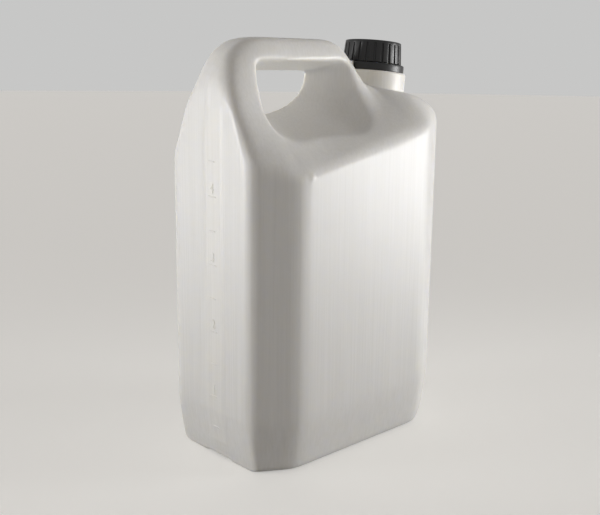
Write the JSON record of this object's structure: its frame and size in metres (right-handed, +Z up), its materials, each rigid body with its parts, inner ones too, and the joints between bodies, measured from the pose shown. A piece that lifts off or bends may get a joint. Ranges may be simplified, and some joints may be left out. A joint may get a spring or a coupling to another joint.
{
  "type": "plastic jerrycan",
  "caption": "Blow-moulded upright jerrycan with a moulded-in top handle, a raised neck, a ribbed screw cap over a tamper ring, and a graduated narrow face.",
  "frame": {"origin": "middle of the base, on the surface the can stands on", "axes": "+Z up; +X from the graduated narrow face towards the neck; Y across, with the mould joint at Y = 0"},
  "size_m": [0.189, 0.122, 0.2964],
  "materials": {
    "natural_hdpe": "satin, faintly translucent",
    "black_pp": "gloss",
    "white_liner": "matte"
  },
  "bodies": {
    "can": {"body": "natural_hdpe", "tamper_ring": "black_pp"},
    "cap_lifting": {"cap_liner": "white_liner"},
    "cap": {"cap": "black_pp"}
  },
  "joints": [
    {"name": "cap_lift", "type": "slide", "parent": "can", "child": "cap_lifting", "axis": [0.0941, 0, 0.9956], "range_m": [0, 0.0063]},
    {"name": "cap_turn", "type": "hinge", "parent": "cap_lifting", "child": "cap", "pos_m": [0.0617, 0, 0.254], "axis": [0.0941, 0, 0.9956], "range_deg": [0, 540]}
  ],
  "couplings": [
    {"joint": "cap_lift", "follows": "cap_turn", "m_per_rad": 0.000668}
  ]
}
